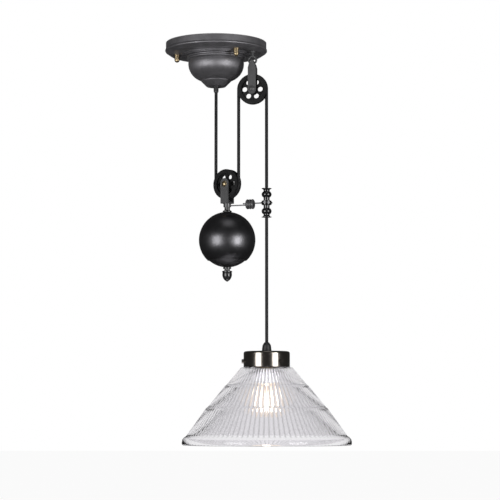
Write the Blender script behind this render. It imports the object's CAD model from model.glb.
"""Rise and fall pendant: its cord, glass shade, lit bulb and finishes, in metres on the CAD frame.

The frame gives every rigid piece. The script adds the cord, the ribbed glass, the bulb's glass
and the lit capsule inside it as surfaces worked out with numpy, and gives each piece a node
material.
"""

import math

import bmesh
import bpy
import numpy as np
from bpy.props import FloatProperty, FloatVectorProperty, IntProperty, PointerProperty
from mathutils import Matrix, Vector


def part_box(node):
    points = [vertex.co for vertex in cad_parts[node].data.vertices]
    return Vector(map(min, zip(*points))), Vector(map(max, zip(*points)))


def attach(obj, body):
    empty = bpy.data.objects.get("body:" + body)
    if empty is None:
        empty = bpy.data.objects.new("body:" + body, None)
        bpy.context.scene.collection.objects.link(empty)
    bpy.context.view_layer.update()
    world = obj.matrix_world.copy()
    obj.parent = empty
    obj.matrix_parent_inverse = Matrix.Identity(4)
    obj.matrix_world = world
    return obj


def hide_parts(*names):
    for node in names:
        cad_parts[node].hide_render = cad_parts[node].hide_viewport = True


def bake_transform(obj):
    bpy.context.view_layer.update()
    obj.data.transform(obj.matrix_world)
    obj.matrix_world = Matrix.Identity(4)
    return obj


bl_info = {
    "name": "Rise and Fall Pendant",
    "version": (1, 0, 0),
    "blender": (4, 5, 0),
    "location": "3D Viewport > Sidebar > Pendant",
    "description": "Builds a counterweighted ceiling pendant with a ribbed glass shade",
    "category": "Object",
}

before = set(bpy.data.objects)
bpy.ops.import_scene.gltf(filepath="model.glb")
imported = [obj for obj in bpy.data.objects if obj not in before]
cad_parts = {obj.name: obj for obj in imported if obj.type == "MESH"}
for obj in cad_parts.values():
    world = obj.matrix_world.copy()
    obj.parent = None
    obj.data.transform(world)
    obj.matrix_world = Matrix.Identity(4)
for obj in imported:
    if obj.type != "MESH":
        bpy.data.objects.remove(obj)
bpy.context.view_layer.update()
MM = 0.001


def length(name, description, value):
    """A size in metres that the sidebar shows as a length."""
    return FloatProperty(name=name, description=description, default=value, min=0.0, unit="LENGTH",
                         precision=5)


def colour(name, description, value):
    """A colour that the sidebar shows as a swatch."""
    return FloatVectorProperty(name=name, description=description, default=value, size=3, min=0.0,
                               max=1.0, subtype="COLOR")


def share(name, description, value):
    """A number from 0 to 1."""
    return FloatProperty(name=name, description=description, default=value, min=0.0, max=1.0,
                         subtype="FACTOR")


# ------------------------------------------------------------ what a user may change

class PendantSizes(bpy.types.PropertyGroup):
    """Sizes of the pieces that this file shapes."""

    cord_radius: length("Cord radius", "Half the thickness of the round cord", 0.00225)
    shade_ribs: IntProperty(name="Shade ribs", description="How many ribs each upper band has",
                            default=72, min=12, max=160)
    rim_ribs: IntProperty(name="Rim ribs", description="How many ribs the lowest band has",
                          default=96, min=12, max=160)
    rib_depth: length("Rib depth", "How far a rib stands out of its groove", 0.0014)
    glass_wall: length("Glass wall", "Thickness of the shade's glass between its ribs", 0.0033)
    bulb_radius: length("Bulb radius", "Radius of the round part of the bulb", 0.0225)


class PendantColours(bpy.types.PropertyGroup):
    """Colours of the finishes."""

    canopy: colour("Canopy", "Satin lacquer of the canopy", (0.205, 0.200, 0.212))
    blocks: colour("Blocks", "Satin lacquer of the pulley blocks and small black parts",
                   (0.055, 0.055, 0.057))
    wheels: colour("Wheels", "Lacquer of the two wheels", (0.010, 0.010, 0.0105))
    ball: colour("Ball", "Satin lacquer of the counterweight", (0.140, 0.138, 0.146))
    guide: colour("Guide", "Gloss lacquer of the turned guide", (0.008, 0.008, 0.0085))
    brass: colour("Brass", "Polished brass nuts and rings", (0.70, 0.55, 0.33))
    gallery: colour("Gallery", "Black nickel plate of the shade's gallery", (0.30, 0.275, 0.25))
    cord: colour("Cord", "Sheath of the round cord", (0.012, 0.012, 0.013))
    glass: colour("Glass", "Tint of the pressed glass", (0.885, 0.875, 0.895))
    lamp_light: colour("Lamp light", "Light of the bulb", (1.0, 0.72, 0.46))
    glow: share("Glow", "How bright the bulb shows, as a share of full", 0.9)


# ------------------------------------------------------------ places

# The cord's route, from the canopy's grip, under the moving wheel, over the fixed wheel and
# down to the lamp. A wheel's four corners are those of half an octagon round its groove.
LOWER_AXLE = (0.016383, -0.011472, -0.205000)
TOP_AXLE = (0.052520, -0.026072, -0.071400)
GRIP_INSIDE = (0.0, 0.0, -0.059800)
LEFT_FOOT = (0.0, 0.0, -0.205000)
MIDDLE_FOOT = (0.032766, -0.022943, -0.205000)
MIDDLE_HEAD = (0.032766, -0.022943, -0.071400)
LAMP_HEAD = (0.072274, -0.029201, -0.071400)
LAMP_FOOT = (0.072274, -0.029201, -0.430100)
LAMP_AXIS = (0.072274, -0.029201)

BULB_MIDDLE = -0.512                    # the height of the middle of the bulb's round part
RIM_BAND = -0.5212                      # where the shade's lowest band begins
RIB_FEET = (-0.5625, -0.5605)           # the grooves' tint fades out between these heights
FULL_GLOW = 4.0                         # strength of the lit capsule at full glow

FLOOR_HEIGHT = -1.15
FLOOR_HALF = 30.0                       # half the side of the square floor
LIGHT_TARGET = (0.05, -0.02, -0.28)
CAMERA_PLACE = (0.08121, -2.6, -0.53197)
CAMERA_RISE = 0.089882                  # radians up from level
CAMERA_TURN = 0.012564                  # radians to the left
SENSOR_WIDTH = 36.0
PHOTO_WIDTH = 500.0                     # in pixels
FOCAL_LENGTH = 1838.0                   # in the photo's pixels


# ------------------------------------------------------------ surfaces

def surface(name, points, closed_round=True, cap_start=False, cap_end=False):
    """Makes a mesh from an array of points (rows, columns, 3), joined to their neighbours by quads.

    A row is a ring when closed_round is set. A cap closes the first or last ring with one point at
    its middle.
    """
    rows, columns, _ = points.shape
    vertices = points.reshape(-1, 3)
    r, c = np.meshgrid(np.arange(rows - 1), np.arange(columns if closed_round else columns - 1),
                       indexing="ij")
    after = (c + 1) % columns
    faces = np.stack([r * columns + c, r * columns + after, (r + 1) * columns + after,
                      (r + 1) * columns + c], axis=-1).reshape(-1, 4).tolist()
    around = np.arange(columns)
    following = (around + 1) % columns
    if cap_start:
        middle = len(vertices)
        vertices = np.vstack([vertices, points[0].mean(axis=0)])
        faces += np.stack([np.full(columns, middle), following, around], axis=-1).tolist()
    if cap_end:
        middle = len(vertices)
        last = (rows - 1) * columns
        vertices = np.vstack([vertices, points[-1].mean(axis=0)])
        faces += np.stack([np.full(columns, middle), last + around, last + following], axis=-1).tolist()
    mesh = bpy.data.meshes.new(name)
    mesh.from_pydata(vertices.tolist(), [], faces)
    mesh.validate()
    mesh.shade_smooth()
    piece = bpy.data.objects.new(name, mesh)
    bpy.context.scene.collection.objects.link(piece)
    return piece


def turned(name, radii, heights, centre, columns=160):
    """A surface of revolution: x = cx + r(t) cos(a), y = cy + r(t) sin(a), z = z(t)."""
    angle = np.linspace(0.0, 2.0 * np.pi, columns, endpoint=False)
    x = centre[0] + radii[:, None] * np.cos(angle)
    y = centre[1] + radii[:, None] * np.sin(angle)
    z = np.broadcast_to(heights[:, None], x.shape)
    return surface(name, np.stack([x, y, z], axis=-1), cap_start=True, cap_end=True)


def spline_line(name, route):
    """The points of a smooth line with the route as its control points."""
    curve = bpy.data.curves.new(name, "CURVE")
    curve.dimensions = "3D"
    spline = curve.splines.new("NURBS")
    spline.points.add(len(route) - 1)
    weighted = np.ones((len(route), 4))
    weighted[:, :3] = route
    spline.points.foreach_set("co", weighted.ravel())
    spline.order_u = 3
    spline.use_endpoint_u = True
    spline.resolution_u = 14
    holder = bpy.data.objects.new(name, curve)
    bpy.context.scene.collection.objects.link(holder)
    bpy.context.view_layer.update()
    read = bpy.data.meshes.new_from_object(holder)
    line = np.empty(len(read.vertices) * 3)
    read.vertices.foreach_get("co", line)
    bpy.data.objects.remove(holder)
    bpy.data.curves.remove(curve)
    bpy.data.meshes.remove(read)
    return line.reshape(-1, 3)


def tube(name, line, radius, plane_normal, sides=28):
    """A round tube along a flat line: point + radius (cos(a) side + sin(a) normal).

    The side is the way of the line crossed with the normal of the plane that the line lies in.
    """
    way = np.gradient(line, axis=0)
    way /= np.linalg.norm(way, axis=1, keepdims=True)
    normal = np.asarray(plane_normal, float)
    normal /= np.linalg.norm(normal)
    side = np.cross(way, normal)
    side /= np.linalg.norm(side, axis=1, keepdims=True)
    angle = np.linspace(0.0, 2.0 * np.pi, sides, endpoint=False)
    points = (line[:, None, :] + radius * (np.cos(angle)[None, :, None] * side[:, None, :]
                                           + np.sin(angle)[None, :, None] * normal))
    return surface(name, points, cap_start=True, cap_end=True)


def strand_route(head, foot, lead=0.03):
    """A straight strand: its head, a point the lead below it, one the lead above the foot, the foot."""
    return [head, np.add(head, (0, 0, -lead)), np.add(foot, (0, 0, lead)), foot]


def wheel_route(start, axle, end, fall):
    """A half turn round a wheel: its start, the four corners of half an octagon and its end.

    A corner lies at the middle of the wheel plus R (cos(a) out + sin(a) fall), with R the pitch
    radius over cos(22.5 degrees) and a at 22.5, 67.5, 112.5 and 157.5 degrees.
    """
    out = np.subtract(start, axle)
    corner = np.radians([22.5, 67.5, 112.5, 157.5])
    reach = 1.0 / math.cos(math.radians(22.5))
    radius = float(np.linalg.norm(out))
    corners = (np.asarray(axle) + reach * (np.cos(corner)[:, None] * out
                                           + np.sin(corner)[:, None] * radius * np.array([0, 0, fall])))
    return np.vstack([start, corners, end])


# ------------------------------------------------------------ node materials

def new_material(name):
    """An empty node tree with its output, and the surface shader joined to it."""
    material = bpy.data.materials.new(name)
    material.use_nodes = True
    tree = material.node_tree
    tree.nodes.clear()
    output = tree.nodes.new("ShaderNodeOutputMaterial")
    output.location = (900, 0)
    shader = tree.nodes.new("ShaderNodeBsdfPrincipled")
    shader.location = (600, 0)
    tree.links.new(shader.outputs["BSDF"], output.inputs["Surface"])
    return material, tree, shader


def add_node(tree, kind, at, **inputs):
    """Adds a node; each keyword is an input's name with its spaces as underscores."""
    node = tree.nodes.new("ShaderNode" + kind)
    node.location = at
    for name, value in inputs.items():
        node.inputs[name.replace("_", " ")].default_value = value
    return node


def pattern_space(tree, stretch=(1.0, 1.0, 1.0), centre=(0.0, 0.0, 0.0)):
    """Object coordinates, moved to a centre and stretched along the axes."""
    coordinate = tree.nodes.new("ShaderNodeTexCoord")
    coordinate.location = (-1100, 0)
    mapping = add_node(tree, "Mapping", (-900, 0), Scale=stretch,
                       Location=tuple(-c * s for c, s in zip(centre, stretch)))
    tree.links.new(coordinate.outputs["Object"], mapping.inputs["Vector"])
    return mapping.outputs["Vector"]


def noise(tree, vector, at, scale, detail=3.0, roughness=0.55):
    """A cloud pattern of the given grain, in cells per metre."""
    cloud = add_node(tree, "TexNoise", at, Scale=scale, Detail=detail, Roughness=roughness)
    tree.links.new(vector, cloud.inputs["Vector"])
    return cloud.outputs["Fac"]


def spread(tree, value, at, low, high, start=0.3, end=0.7):
    """Maps a pattern's middle range to the range from low to high."""
    change = tree.nodes.new("ShaderNodeMapRange")
    change.location = at
    for name, number in (("From Min", start), ("From Max", end), ("To Min", low), ("To Max", high)):
        change.inputs[name].default_value = number
    tree.links.new(value, change.inputs["Value"])
    return change.outputs["Result"]


def two_tone(tree, value, at, dark, light, start=0.35, end=0.65):
    """A ramp from one colour to another over a pattern."""
    ramp = tree.nodes.new("ShaderNodeValToRGB")
    ramp.location = at
    ramp.color_ramp.elements[0].position = start
    ramp.color_ramp.elements[1].position = end
    ramp.color_ramp.elements[0].color = (*dark, 1.0)
    ramp.color_ramp.elements[1].color = (*light, 1.0)
    tree.links.new(value, ramp.inputs["Fac"])
    return ramp.outputs["Color"]


def relief(tree, shader, value, at, depth, strength=1.0):
    """Turns a pattern into fine relief of the given depth, in metres."""
    bump = add_node(tree, "Bump", at, Strength=strength, Distance=depth)
    tree.links.new(value, bump.inputs["Height"])
    tree.links.new(bump.outputs["Normal"], shader.inputs["Normal"])


def scaled(tone, factor):
    """A colour made lighter or darker by a factor."""
    return tuple(min(1.0, channel * factor) for channel in tone)


def lacquer(name, tone, rough_low, rough_high, shine=1.0, flake=0.0, coat=0.0, rings=0.0,
            centre=(0.0, 0.0, 0.0)):
    """Sprayed lacquer: faint mottling, orange peel, and the turning marks of the metal below.

    Flake is its metallic share, shine its specular level, coat its clear coat, and rings the
    weight of the turning marks about an upright axis through the centre.
    """
    material, tree, shader = new_material(name)
    space = pattern_space(tree)
    mottle = noise(tree, space, (-650, 250), 60.0, 4.0)
    tree.links.new(two_tone(tree, mottle, (-350, 250), scaled(tone, 0.86), scaled(tone, 1.12)),
                   shader.inputs["Base Color"])
    smudge = noise(tree, space, (-650, 0), 140.0, 5.0, 0.6)
    tree.links.new(spread(tree, smudge, (-350, 0), rough_low, rough_high), shader.inputs["Roughness"])
    peel = noise(tree, space, (-650, -250), 1500.0, 2.0, 0.5)
    height = peel
    if rings:
        marks_space = pattern_space(tree, (0.0, 0.0, 1.0), centre)
        marks = noise(tree, marks_space, (-650, -500), 2600.0, 2.0, 0.5)
        join = add_node(tree, "Math", (-350, -350))
        join.operation = "MULTIPLY_ADD"
        join.inputs[1].default_value = rings
        tree.links.new(marks, join.inputs[0])
        tree.links.new(peel, join.inputs[2])
        height = join.outputs["Value"]
        around = tree.nodes.new("ShaderNodeTangent")
        around.location = (250, -500)
        around.direction_type = "RADIAL"
        around.axis = "Z"
        tree.links.new(around.outputs["Tangent"], shader.inputs["Tangent"])
        shader.inputs["Anisotropic"].default_value = 1.5 * rings
    relief(tree, shader, height, (250, -300), 0.000012, 0.5)
    shader.inputs["Specular IOR Level"].default_value = shine
    shader.inputs["Metallic"].default_value = flake
    if coat:
        shader.inputs["Coat Weight"].default_value = coat
        shader.inputs["Coat Roughness"].default_value = 0.06
    return material


def metal(name, tone, rough_low, rough_high, tarnish=0.8, brush=(1.0, 1.0, 1.0), grain=900.0,
          depth=0.00002):
    """Bare or plated metal: tarnish in soft patches and a brushed or turned grain."""
    material, tree, shader = new_material(name)
    plain = pattern_space(tree)
    patches = noise(tree, plain, (-650, 250), 90.0, 5.0, 0.6)
    tree.links.new(two_tone(tree, patches, (-350, 250), scaled(tone, tarnish), tone),
                   shader.inputs["Base Color"])
    brushed = pattern_space(tree, brush)
    lines = noise(tree, brushed, (-650, -100), grain, 3.0, 0.6)
    tree.links.new(spread(tree, lines, (-350, -100), rough_low, rough_high), shader.inputs["Roughness"])
    relief(tree, shader, lines, (250, -300), depth, 0.5)
    shader.inputs["Metallic"].default_value = 1.0
    return material


def moulded(name, tone, rough_low, rough_high, grain=1800.0):
    """Moulded plastic or fired ceramic with a fine matt grain."""
    material, tree, shader = new_material(name)
    space = pattern_space(tree)
    mottle = noise(tree, space, (-650, 250), 70.0, 3.0)
    tree.links.new(two_tone(tree, mottle, (-350, 250), scaled(tone, 0.9), scaled(tone, 1.06)),
                   shader.inputs["Base Color"])
    texture = noise(tree, space, (-650, -100), grain, 3.0)
    tree.links.new(spread(tree, texture, (-350, -100), rough_low, rough_high),
                   shader.inputs["Roughness"])
    relief(tree, shader, texture, (250, -300), 0.00004, 0.6)
    return material


def cord_sheath(name, tone):
    """A smooth round sheath with faint cloudy wear."""
    material, tree, shader = new_material(name)
    space = pattern_space(tree)
    cloud = noise(tree, space, (-650, 100), 220.0, 2.0)
    tree.links.new(two_tone(tree, cloud, (-350, 250), scaled(tone, 0.85), scaled(tone, 1.2)),
                   shader.inputs["Base Color"])
    tree.links.new(spread(tree, cloud, (-350, -50), 0.40, 0.46), shader.inputs["Roughness"])
    shader.inputs["Specular IOR Level"].default_value = 0.22
    return material


def pressed_glass(name, tone, ribs, rim_ribs):
    """Clear pressed glass: a faint tint, greyer in the grooves, and slight waves from the mould.

    A groove is where |cos(n a / 2)| comes near 0, as in the shade's own formula.
    """
    material, tree, shader = new_material(name)
    space = pattern_space(tree, centre=(*LAMP_AXIS, 0.0))
    waves = noise(tree, space, (-650, 100), 55.0, 3.0)
    part = tree.nodes.new("ShaderNodeSeparateXYZ")
    part.location = (-1000, 400)
    tree.links.new(space, part.inputs["Vector"])
    turn = tree.nodes.new("ShaderNodeMath")
    turn.operation, turn.location = "ARCTAN2", (-850, 400)
    tree.links.new(part.outputs["Y"], turn.inputs[0])
    tree.links.new(part.outputs["X"], turn.inputs[1])
    value = turn.outputs["Value"]
    changeover = 0.0002
    count = spread(tree, part.outputs["Z"], (-850, 700), rim_ribs / 2.0, ribs / 2.0,
                   RIM_BAND - changeover, RIM_BAND + changeover)
    for step, operation in enumerate(("MULTIPLY", "COSINE", "ABSOLUTE")):
        node = tree.nodes.new("ShaderNodeMath")
        node.operation, node.location = operation, (-700 + 150 * step, 400)
        tree.links.new(value, node.inputs[0])
        if operation == "MULTIPLY":
            tree.links.new(count, node.inputs[1])
        value = node.outputs["Value"]
    plain = spread(tree, part.outputs["Z"], (-400, 600), 1.0, 0.0, *RIB_FEET)
    join = tree.nodes.new("ShaderNodeMath")
    join.operation, join.location = "MAXIMUM", (-200, 500)
    tree.links.new(value, join.inputs[0])
    tree.links.new(plain, join.inputs[1])
    groove = scaled(tone, 0.66)
    tree.links.new(two_tone(tree, join.outputs["Value"], (0, 400), groove, tone, 0.0, 0.75),
                   shader.inputs["Base Color"])
    tree.links.new(spread(tree, waves, (-350, -50), 0.02, 0.07), shader.inputs["Roughness"])
    ripple = noise(tree, space, (-650, -300), 260.0, 2.0)
    relief(tree, shader, ripple, (250, -300), 0.0002, 0.35)
    shader.inputs["Transmission Weight"].default_value = 1.0
    shader.inputs["IOR"].default_value = 1.34
    return material


def frosted_glass(name, light):
    """The bulb's frosted envelope: it blurs the lit capsule inside and glows a little itself."""
    material, tree, shader = new_material(name)
    space = pattern_space(tree, centre=(*LAMP_AXIS, 0.0))
    frost = noise(tree, space, (-650, 0), 700.0, 2.0)
    tree.links.new(two_tone(tree, frost, (-250, 250), (0.90, 0.86, 0.80), (0.97, 0.95, 0.92)),
                   shader.inputs["Base Color"])
    tree.links.new(spread(tree, frost, (-250, -250), 0.22, 0.32), shader.inputs["Roughness"])
    shader.inputs["Transmission Weight"].default_value = 1.0
    shader.inputs["IOR"].default_value = 1.2
    shader.inputs["Emission Color"].default_value = (*light, 1.0)
    shader.inputs["Emission Strength"].default_value = 0.12
    return material


def lit_capsule(name, light, strength):
    """The lit capsule and its stem: near white to just above the bulb's middle, warm at the stem."""
    material, tree, shader = new_material(name)
    space = pattern_space(tree, centre=(*LAMP_AXIS, BULB_MIDDLE))
    part = tree.nodes.new("ShaderNodeSeparateXYZ")
    part.location = (-650, 0)
    tree.links.new(space, part.inputs["Vector"])
    foot, top = -0.014, 0.022
    height = spread(tree, part.outputs["Z"], (-450, 0), 0.0, 1.0, foot, top)
    near_white, warm = (1.0, 0.95, 0.86), scaled(light, 0.6)
    tree.links.new(two_tone(tree, height, (-250, 0), near_white, warm, 0.5, 0.9),
                   shader.inputs["Emission Color"])
    shader.inputs["Emission Strength"].default_value = strength
    return material


def paint(material, *names):
    """Gives a material to CAD nodes by name."""
    for name in names:
        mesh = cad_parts[name].data
        mesh.materials.clear()
        mesh.materials.append(material)


def dress(piece, material, body, slot, *nodes):
    """Finishes a new piece, puts it on its body and lets it stand for CAD nodes."""
    piece.data.materials.append(material)
    if body:
        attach(piece, body)
    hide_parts(*nodes)


# ------------------------------------------------------------ operators

class PENDANT_OT_canopy(bpy.types.Operator):
    """Finish the canopy, its brass nuts, and what it hides at the ceiling"""

    bl_idname = "pendant.canopy"
    bl_label = "Canopy"

    def execute(self, context):
        colours = context.scene.pendant_colours
        paint(lacquer("canopy_lacquer", colours.canopy[:], 0.42, 0.48, flake=0.8, rings=0.4),
              "canopy_shell")
        paint(metal("canopy_nut_brass", scaled(colours.brass[:], 0.85), 0.30, 0.44, 0.7), "canopy_nuts")
        zinc = metal("zinc_plate", (0.32, 0.32, 0.31), 0.50, 0.62, 0.85)
        paint(zinc, "ceiling_bracket", "bracket_studs", "terminal_screws", "eye_bolt_nut",
              "weight_stem_nut", "weight_tie_rod", "lamp_nipple", "lamp_nipple_nut")
        paint(moulded("terminal_block_plastic", (0.80, 0.79, 0.75), 0.45, 0.6), "terminal_block")
        grip = moulded("cord_grip_plastic", (0.022, 0.022, 0.023), 0.38, 0.5)
        paint(grip, "canopy_cord_grip", "canopy_grip_nut", "lamp_cord_grip")
        return {"FINISHED"}


class PENDANT_OT_blocks(bpy.types.Operator):
    """Finish the eye bolt, the two pulley blocks and their wheels"""

    bl_idname = "pendant.blocks"
    bl_label = "Pulley blocks"

    def execute(self, context):
        colours = context.scene.pendant_colours
        black = lacquer("block_lacquer", colours.blocks[:], 0.38, 0.52, shine=0.8)
        paint(black, "eye_bolt", "top_block_strap", "top_axle", "top_axle_nut", "lower_block_strap")
        paint(lacquer("wheel_lacquer", colours.wheels[:], 0.26, 0.36, shine=0.4), "top_wheel",
              "lower_wheel")
        paint(metal("axle_brass", scaled(colours.brass[:], 0.9), 0.3, 0.42, 0.75), "lower_axle",
              "lower_axle_nut")
        paint(metal("bush_brass", scaled(colours.brass[:], 0.9), 0.26, 0.4, 0.8), "top_wheel_bush",
              "lower_wheel_bush", "holder_plungers")
        return {"FINISHED"}


class PENDANT_OT_counterweight(bpy.types.Operator):
    """Finish the ball, its swivel stem and its acorn finial"""

    bl_idname = "pendant.counterweight"
    bl_label = "Counterweight"

    def execute(self, context):
        colours = context.scene.pendant_colours
        centre = (LOWER_AXLE[0], LOWER_AXLE[1], 0.0)
        paint(lacquer("ball_lacquer", colours.ball[:], 0.33, 0.37, flake=1.0, rings=0.25, centre=centre),
              "weight_shell")
        paint(lacquer("cap_lacquer", scaled(colours.ball[:], 1.3), 0.40, 0.46, flake=1.0, rings=0.25,
                      centre=centre), "weight_cap")
        paint(lacquer("stem_lacquer", colours.guide[:], 0.26, 0.36), "weight_stem", "acorn_finial")
        paint(moulded("cast_slug", (0.16, 0.155, 0.15), 0.6, 0.8, 600.0), "weight_ballast")
        return {"FINISHED"}


class PENDANT_OT_arm(bpy.types.Operator):
    """Finish the distance arm, its clamp and the turned cord guide"""

    bl_idname = "pendant.arm"
    bl_label = "Arm and guide"

    def execute(self, context):
        colours = context.scene.pendant_colours
        paint(metal("blackened_wire", (0.20, 0.20, 0.21), 0.30, 0.42, 0.8, grain=1500.0),
              "arm_rod_inner", "arm_rod_outer")
        paint(lacquer("clamp_lacquer", colours.blocks[:], 0.28, 0.4), "arm_clamp", "arm_collar")
        paint(lacquer("guide_lacquer", colours.guide[:], 0.12, 0.2, shine=0.8, coat=0.2, rings=0.3),
              "guide_upper", "guide_lower")
        return {"FINISHED"}


class PENDANT_OT_lamp(bpy.types.Operator):
    """Finish the gallery, its screws and the lampholder"""

    bl_idname = "pendant.lamp"
    bl_label = "Gallery and lampholder"

    def execute(self, context):
        colours = context.scene.pendant_colours
        paint(metal("black_nickel", colours.gallery[:], 0.14, 0.24, 0.85, (1.0, 1.0, 14.0), 700.0,
                    0.00001), "gallery_cap", "gallery_screws")
        paint(metal("nickel_plate", (0.74, 0.74, 0.75), 0.16, 0.28, 0.88, (1.0, 1.0, 10.0)),
              "holder_cap", "holder_barrel")
        paint(metal("ring_brass", colours.brass[:], 0.2, 0.3, 0.85), "shade_ring")
        paint(moulded("holder_ceramic", (0.82, 0.80, 0.76), 0.5, 0.65), "holder_core")
        paint(metal("bulb_cap_metal", (0.78, 0.78, 0.78), 0.2, 0.32, 0.9, (1.0, 1.0, 6.0)), "bulb_cap")
        return {"FINISHED"}


class PENDANT_OT_bulb(bpy.types.Operator):
    """Make the bulb's frosted glass and the lit capsule inside it"""

    bl_idname = "pendant.bulb"
    bl_label = "Bulb"

    def execute(self, context):
        colours = context.scene.pendant_colours
        radius = context.scene.pendant_sizes.bulb_radius
        low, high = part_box("bulb_glass")
        centre = low.z + radius
        top = high.z
        neck = 0.0107
        # The round part: r = R sin(a), z = centre - R cos(a), from the foot up to where it meets
        # the neck; then the neck runs straight up into the cap.
        meet = math.pi - math.asin(neck / radius)
        off_pole = 0.02
        angle = np.linspace(off_pole, meet, 48)
        radii = np.append(radius * np.sin(angle), [neck, neck])
        neck_foot = centre - radius * math.cos(meet)
        heights = np.append(centre - radius * np.cos(angle), [(neck_foot + top) / 2, top])
        glass = turned("bulb_lit_glass", radii, heights, LAMP_AXIS, 96)
        light = colours.lamp_light[:]
        dress(glass, frosted_glass("frosted_bulb_glass", light), "lamp", "bulb_glass", "bulb_glass")
        # The capsule: half round at its foot, r = R cos(a), then straight, a shoulder and its stem.
        bend = np.linspace(-1.45, 0.0, 10)
        capsule, stem = 0.0052, 0.0018
        body_foot, body_top = centre - 0.008, centre + 0.010
        shoulder, stem_foot = centre + 0.013, centre + 0.016
        radii = np.concatenate([capsule * np.cos(bend), [capsule, 0.7 * capsule, stem, stem]])
        heights = np.concatenate([body_foot + capsule * np.sin(bend),
                                  [body_top, shoulder, stem_foot, top]])
        core = turned("bulb_capsule", radii, heights, LAMP_AXIS, 48)
        core.data.materials.append(lit_capsule("lit_capsule", light, colours.glow * FULL_GLOW))
        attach(core, "lamp")
        return {"FINISHED"}


class PENDANT_OT_shade(bpy.types.Operator):
    """Press the ribbed glass shade in its three bands"""

    bl_idname = "pendant.shade"
    bl_label = "Glass shade"

    def execute(self, context):
        sizes = context.scene.pendant_sizes
        radii, heights, ribbed = shade_profile(sizes.glass_wall)
        # Twice the least common multiple puts a column in every groove, for both counts of ribs.
        columns = math.lcm(sizes.shade_ribs, sizes.rim_ribs) * 2
        angle = np.linspace(0.0, 2.0 * np.pi, columns, endpoint=False)
        # A rib is a rounded ridge: |cos(n a / 2)| has one smooth hump and one sharp groove a rib.
        ribs = np.where(heights > RIM_BAND, sizes.shade_ribs, sizes.rim_ribs)
        ridge = np.abs(np.cos(angle * ribs[:, None] / 2.0)) - 1.0
        radius = radii[:, None] + sizes.rib_depth * ribbed[:, None] * ridge
        points = np.stack([LAMP_AXIS[0] + radius * np.cos(angle),
                           LAMP_AXIS[1] + radius * np.sin(angle),
                           np.broadcast_to(heights[:, None], radius.shape)], axis=-1)
        # The first ring again at the end closes the outline, and weld makes the two one.
        points = np.concatenate([points, points[:1]], axis=0)
        piece = surface("ribbed_shade", points)
        weld(piece)
        dress(piece, pressed_glass("pressed_glass", context.scene.pendant_colours.glass[:],
                                   sizes.shade_ribs, sizes.rim_ribs), "lamp", "shade_glass",
              "shade_glass")
        return {"FINISHED"}


def weld(piece):
    """Merges the doubled ring where a closed outline meets itself, and turns all faces outwards."""
    mesh = bmesh.new()
    mesh.from_mesh(piece.data)
    bmesh.ops.remove_doubles(mesh, verts=mesh.verts, dist=1e-7)
    bmesh.ops.recalc_face_normals(mesh, faces=mesh.faces)
    mesh.to_mesh(piece.data)
    mesh.free()
    piece.data.shade_smooth()


def shade_profile(wall):
    """The shade's closed outline as radii, heights and how deep the ribs are at each point.

    It runs down the outside through neck, shoulder, three bands and rim, and up the smooth inside.
    The points are in millimetres. A band's ribs fade in and out at its ends, with the share of
    their depth min(t, 1 - t) / fade to the power 0.6, and those of the first run on over the
    shoulder. Points close to a corner keep the smooth shading of the straight parts true.
    """
    neck = [(24.9, -448.0), (29.5, -448.0), (29.6, -450.4), (28.6, -451.8), (28.5, -463.4),
            (31.5, -464.0)]
    bands = [((36.3, -465.4), (56.2, -489.4)), ((58.2, -490.6), (82.8, -520.6)),
             ((84.8, -521.8), (112.3, -560.3))]
    rim = [(114.4, -561.6), (117.2, -564.4), (118.1, -567.4), (118.3, -570.0), (117.9, -572.0),
           (116.6, -572.9), (113.6, -572.9), (111.6, -571.4)]
    outer = [(r, h, 0.0) for r, h in neck[:-1]] + [(*neck[-1], 0.5), (34.2, -464.5, 0.9)]
    stations = np.array([0.0, 0.025, 0.06, 0.12, 0.3, 0.5, 0.7, 0.88, 0.94, 0.975, 1.0])
    fade = 0.06
    for number, ((r0, h0), (r1, h1)) in enumerate(bands):
        depth = np.clip(np.minimum(stations, 1.0 - stations) / fade, 0.0, 1.0) ** 0.6
        if number == 0:
            depth[:5] = 1.0
        outer += [(r0 + (r1 - r0) * t, h0 + (h1 - h0) * t, d) for t, d in zip(stations, depth)]
    outer += [(r, h, 0.0) for r, h in rim]
    gap = wall / MM
    inner = [(112.3 - gap * 1.2, -560.3), (84.0 - gap * 1.2, -521.8), (57.6 - gap * 1.2, -490.2),
             (34.6 - gap * 0.8, -466.0 - gap * 0.5), (28.0 - gap, -467.6), (24.9, -466.0)]
    inner_stations = (0.0, 0.04, 0.3, 0.7, 0.96)
    for (r0, h0), (r1, h1) in zip(inner, inner[1:]):
        outer += [(r0 + (r1 - r0) * t, h0 + (h1 - h0) * t, 0.0) for t in inner_stations]
    outer.append((*inner[-1], 0.0))
    table = np.array(outer)
    return table[:, 0] * MM, table[:, 1] * MM, table[:, 2]


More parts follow.
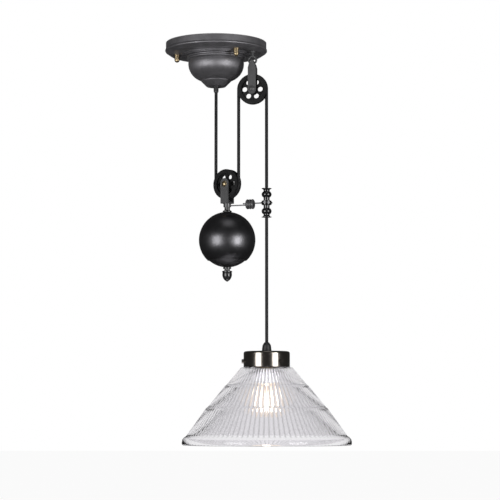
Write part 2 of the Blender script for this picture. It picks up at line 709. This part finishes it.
class PENDANT_OT_cord(bpy.types.Operator):
    """Reeve the cord: down, under the moving wheel, over the fixed wheel and down to the lamp"""

    bl_idname = "pendant.cord"
    bl_label = "Cord"

    def execute(self, context):
        radius = context.scene.pendant_sizes.cord_radius
        sheath = cord_sheath("cord_sheath", context.scene.pendant_colours.cord[:])
        lower_plane = np.cross(np.subtract(MIDDLE_FOOT, LEFT_FOOT), (0.0, 0.0, 1.0))
        top_plane = np.cross(np.subtract(LAMP_HEAD, MIDDLE_HEAD), (0.0, 0.0, 1.0))
        stretches = (
            ("left_strand", strand_route(GRIP_INSIDE, LEFT_FOOT), lower_plane,
             ("root", "carriage"), "cord_left_strand"),
            ("under_wheel", wheel_route(LEFT_FOOT, LOWER_AXLE, MIDDLE_FOOT, -1.0), lower_plane,
             ("carriage",), "cord_under_wheel"),
            ("middle_strand", strand_route(MIDDLE_HEAD, MIDDLE_FOOT), lower_plane,
             ("root", "carriage"), "cord_middle_strand"),
            ("over_wheel", wheel_route(MIDDLE_HEAD, TOP_AXLE, LAMP_HEAD, 1.0), top_plane,
             ("root",), "cord_over_wheel"),
            ("lamp_strand", strand_route(LAMP_HEAD, LAMP_FOOT), top_plane,
             ("root", "lamp"), "cord_lamp_strand"),
        )
        for name, route, plane, bodies, node in stretches:
            line = spline_line(name, np.array(route, float))
            piece = tube("round_cord_" + name, line, radius, plane)
            if len(bodies) == 2:
                dress(piece, sheath, None, "cord", node)
                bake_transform(piece)
            else:
                dress(piece, sheath, bodies[0], "cord", node)
        paint(sheath, "cord_tail", "cord_lamp_tail")
        return {"FINISHED"}


class PENDANT_OT_stage(bpy.types.Operator):
    """Set the pale floor, the soft light and the camera"""

    bl_idname = "pendant.stage"
    bl_label = "Stage"

    def execute(self, context):
        scene = context.scene
        scene.view_settings.view_transform = "Standard"
        corners = [[(x, y, FLOOR_HEIGHT) for x in (-FLOOR_HALF, FLOOR_HALF)]
                   for y in (-FLOOR_HALF, FLOOR_HALF)]
        floor = surface("pale_floor", np.array(corners), closed_round=False)
        floor.data.materials.append(pale_floor("pale_floor"))
        white_room(scene)
        soft_box("left_light", (-1.34, -1.58, -0.46), width=1.0, height=1.15, power=23.0)
        soft_box("right_light", (1.48, -1.56, -0.46), width=0.95, height=1.15, power=26.0)
        soft_box("top_light", (0.2, -0.9, 1.90), width=1.2, height=1.2, power=3.0)
        camera = bpy.data.cameras.new("photo_camera")
        camera.sensor_width = SENSOR_WIDTH
        camera.lens = SENSOR_WIDTH * FOCAL_LENGTH / PHOTO_WIDTH
        camera.clip_start, camera.clip_end = 0.05, 100.0
        holder = bpy.data.objects.new("photo_camera", camera)
        holder.location = CAMERA_PLACE
        holder.rotation_euler = (math.radians(90.0) + CAMERA_RISE, 0.0, CAMERA_TURN)
        scene.collection.objects.link(holder)
        scene.camera = holder
        return {"FINISHED"}


def seen_brightness(tree, at, light, gloss):
    """How bright the surroundings are: 1 seen directly or through glass, else what lights the object.

    A ray off gloss meets the share gloss, or 1 behind glass, and any other ray the share light.
    """
    path = tree.nodes.new("ShaderNodeLightPath")
    path.location = at
    behind = spread(tree, path.outputs["Transmission Depth"], (at[0] + 200, at[1] - 300), gloss, 1.0,
                    0.0, 1.0)
    lit = spread(tree, path.outputs["Is Glossy Ray"], (at[0] + 200, at[1]), light, gloss, 0.0, 1.0)
    tree.links.new(behind, lit.node.inputs["To Max"])
    for name in ("Is Transmission Ray", "Is Camera Ray"):
        join = tree.nodes.new("ShaderNodeMath")
        join.operation = "MAXIMUM"
        join.location = (at[0] + 400, at[1])
        tree.links.new(lit, join.inputs[0])
        tree.links.new(path.outputs[name], join.inputs[1])
        lit = join.outputs["Value"]
    return lit


def pale_floor(name):
    """A matt white floor that shows as plain white and keeps a faint shadow."""
    material, tree, shader = new_material(name)
    shader.inputs["Roughness"].default_value = 0.9
    space = pattern_space(tree)
    mottle = noise(tree, space, (-650, 250), 3.0)
    tree.links.new(two_tone(tree, mottle, (-350, 250), (0.84, 0.84, 0.84), (0.87, 0.87, 0.87)),
                   shader.inputs["Base Color"])
    glow = add_node(tree, "Emission", (600, -300), Strength=1.0)
    mix = tree.nodes.new("ShaderNodeMixShader")
    mix.location = (760, 0)
    weight = spread(tree, seen_brightness(tree, (-200, -600), 0.0, 1.0), (400, -600), 0.0, 0.95,
                    0.0, 1.0)
    tree.links.new(weight, mix.inputs["Fac"])
    tree.links.new(seen_brightness(tree, (-200, -1000), 0.0, 0.03), glow.inputs["Strength"])
    tree.links.new(shader.outputs["BSDF"], mix.inputs[1])
    tree.links.new(glow.outputs["Emission"], mix.inputs[2])
    output = [node for node in tree.nodes if node.type == "OUTPUT_MATERIAL"][0]
    tree.links.new(mix.outputs["Shader"], output.inputs["Surface"])
    return material


def white_room(scene):
    """A plain world: grey light on the object, and white wherever it is seen."""
    world = bpy.data.worlds.new("white_room")
    world.use_nodes = True
    tree = world.node_tree
    tree.nodes.clear()
    output = tree.nodes.new("ShaderNodeOutputWorld")
    output.location = (600, 0)
    plain = add_node(tree, "Background", (400, 0), Color=(1.0, 1.0, 1.0, 1.0))
    tree.links.new(seen_brightness(tree, (-300, 0), 0.20, 0.05), plain.inputs["Strength"])
    tree.links.new(plain.outputs["Background"], output.inputs["Surface"])
    scene.world = world


def soft_box(name, place, width, height, power):
    """A soft light of a given width and height at a place, turned to the light target."""
    light = bpy.data.lights.new(name, "AREA")
    light.shape = "RECTANGLE"
    light.size = width
    light.size_y = height
    light.energy = power
    holder = bpy.data.objects.new(name, light)
    holder.location = place
    holder.rotation_mode = "QUATERNION"
    holder.rotation_quaternion = (Vector(LIGHT_TARGET) - Vector(place)).to_track_quat("-Z", "Y")
    bpy.context.scene.collection.objects.link(holder)


# ------------------------------------------------------------ sidebar and registration

OPERATORS = (PENDANT_OT_cord, PENDANT_OT_shade, PENDANT_OT_bulb, PENDANT_OT_canopy,
             PENDANT_OT_blocks, PENDANT_OT_counterweight, PENDANT_OT_arm, PENDANT_OT_lamp,
             PENDANT_OT_stage)


class PENDANT_PT_sidebar(bpy.types.Panel):
    """Lists the pieces with the sizes and colours that they use"""

    bl_idname = "PENDANT_PT_sidebar"
    bl_label = "Rise and fall pendant"
    bl_space_type = "VIEW_3D"
    bl_region_type = "UI"
    bl_category = "Pendant"

    def draw(self, context):
        layout = self.layout
        for group in (context.scene.pendant_sizes, context.scene.pendant_colours):
            column = layout.column()
            for name in group.__annotations__:
                column.prop(group, name)
        for operator in OPERATORS:
            layout.operator(operator.bl_idname)


CLASSES = (PendantSizes, PendantColours, *OPERATORS, PENDANT_PT_sidebar)


def register():
    """Registers the classes and hangs the sizes and colours on the scene."""
    for entry in CLASSES:
        bpy.utils.register_class(entry)
    bpy.types.Scene.pendant_sizes = PointerProperty(type=PendantSizes)
    bpy.types.Scene.pendant_colours = PointerProperty(type=PendantColours)


def unregister():
    """Undoes what register did, in the opposite order."""
    del bpy.types.Scene.pendant_colours
    del bpy.types.Scene.pendant_sizes
    for entry in reversed(CLASSES):
        bpy.utils.unregister_class(entry)


def main():
    """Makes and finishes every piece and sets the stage."""
    register()
    for operator in OPERATORS:
        category, name = operator.bl_idname.split(".")
        getattr(getattr(bpy.ops, category), name)()


if __name__ == "__main__":
    main()
